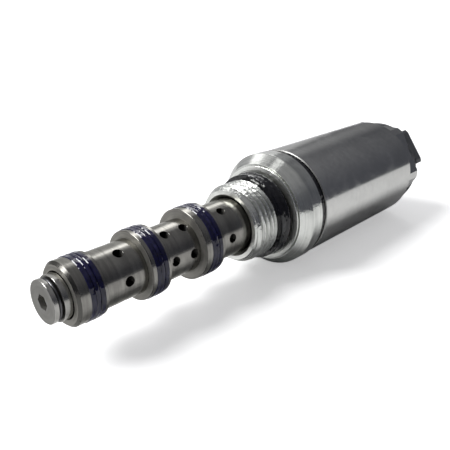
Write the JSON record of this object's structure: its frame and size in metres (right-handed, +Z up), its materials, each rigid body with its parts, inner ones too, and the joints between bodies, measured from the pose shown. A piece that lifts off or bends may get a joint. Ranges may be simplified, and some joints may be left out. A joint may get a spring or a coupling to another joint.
{
  "type": "solenoid cartridge valve",
  "caption": "Screw-in hydraulic cartridge valve: stepped ported sleeve with seals, threaded flange and long round solenoid with spanner flats and rear connector.",
  "frame": {"origin": "on the valve axis, in the plane of the flange face that seats on the block", "axes": "+X along the valve axis from the nose towards the connector, +Z up through one spanner flat, +Y to the left of the nose-to-connector direction"},
  "size_m": [0.172, 0.0406, 0.0406],
  "materials": {
    "ground_steel": "finely turned and ground, satin",
    "spring_steel": "bright drawn wire",
    "navy_seal_rubber": "oiled, glossy",
    "navy_backup_plastic": "oiled, glossy",
    "black_rubber": "oiled, glossy",
    "black_backup_plastic": "oiled, glossy",
    "bright_plated_steel": "turned and bright plated",
    "polished_nickel": "polished nickel plate",
    "magnet_steel": "turned soft iron",
    "stainless_tube": "drawn stainless",
    "bronze": "sintered bronze",
    "brass": "turned brass",
    "bobbin_nylon": "natural glass-filled nylon",
    "copper_wire": "enamelled copper wire",
    "black_connector_nylon": "black glass-filled nylon",
    "tinned_brass": "tin plated"
  },
  "bodies": {
    "valve_body": {"nose_plug": "ground_steel", "plug_lock_wire": "spring_steel", "sleeve": "ground_steel", "front_backup_ring_nose_side": "navy_backup_plastic", "front_o_ring": "navy_seal_rubber", "front_backup_ring_body_side": "navy_backup_plastic", "middle_backup_ring_nose_side": "navy_backup_plastic", "middle_o_ring": "navy_seal_rubber", "middle_backup_ring_body_side": "navy_backup_plastic", "rear_backup_ring_nose_side": "navy_backup_plastic", "rear_o_ring": "navy_seal_rubber", "rear_backup_ring_body_side": "navy_backup_plastic", "return_spring": "spring_steel", "threaded_body": "bright_plated_steel", "body_backup_ring": "black_backup_plastic", "body_o_ring": "black_rubber", "housing_seal_ring": "black_rubber", "solenoid_housing": "polished_nickel", "pole_piece": "magnet_steel", "pole_o_ring": "black_rubber", "pin_bush": "bronze", "anti_stick_washer": "brass", "brazing_ring": "brass", "armature_tube": "stainless_tube", "tube_end_plug": "stainless_tube", "coil_bobbin": "bobbin_nylon", "coil_winding": "copper_wire", "rear_yoke_washer": "magnet_steel", "connector": "black_connector_nylon", "connector_o_ring": "black_rubber", "terminal_blade_left": "tinned_brass", "terminal_blade_right": "tinned_brass"},
    "armature_and_pin": {"armature": "magnet_steel", "push_pin": "ground_steel"},
    "spool": {"spool": "ground_steel"}
  },
  "joints": [
    {"name": "armature_slide", "type": "slide", "parent": "valve_body", "child": "armature_and_pin", "axis": [-1, 0, 0], "range_m": [0, 0.003]},
    {"name": "spool_slide", "type": "slide", "parent": "valve_body", "child": "spool", "axis": [-1, 0, 0], "range_m": [0, 0.003], "stiffness_N_per_m": 1500, "springref_m": -0.004, "deforming": ["return_spring"]}
  ],
  "couplings": [
    {"joint": "spool_slide", "follows": "armature_slide", "ratio": 1}
  ]
}
